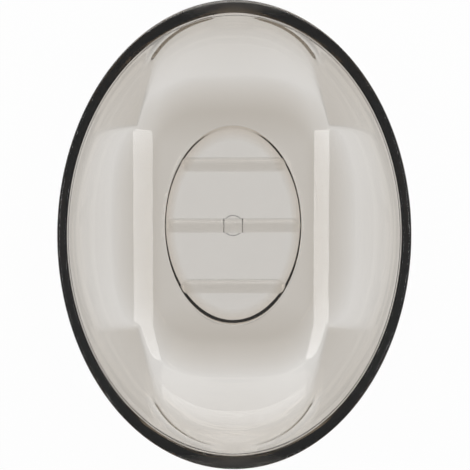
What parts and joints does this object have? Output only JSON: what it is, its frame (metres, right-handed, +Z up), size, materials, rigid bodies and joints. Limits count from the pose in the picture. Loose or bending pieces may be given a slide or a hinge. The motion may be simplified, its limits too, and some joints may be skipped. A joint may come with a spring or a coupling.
{
  "type": "lidded soap dish",
  "caption": "Oval clear-smoke soap dish with four lobes in its wall, a ribbed drop-in tray and a shallow lift-off lid.",
  "frame": {"origin": "middle of the base, on the table", "axes": "+Z up, +Y along the oval's length towards one finger notch, +X across its width"},
  "size_m": [0.1056, 0.141, 0.0343],
  "materials": {
    "dish_smoke": "polished clear acrylic with a warm grey smoke tint",
    "tray_smoke": "polished clear acrylic with a warm grey smoke tint",
    "lid_smoke": "polished clear acrylic with a light warm grey smoke tint"
  },
  "bodies": {
    "dish": {"dish": "dish_smoke"},
    "soap_tray": {"soap_tray": "tray_smoke"},
    "lid": {"lid": "lid_smoke"}
  },
  "joints": [
    {"name": "lid_lift", "type": "slide", "parent": "dish", "child": "lid", "axis": [0, 0, 1], "range_m": [0, 0.06]},
    {"name": "tray_lift", "type": "slide", "parent": "dish", "child": "soap_tray", "axis": [0, 0, 1], "range_m": [0, 0.02]}
  ]
}
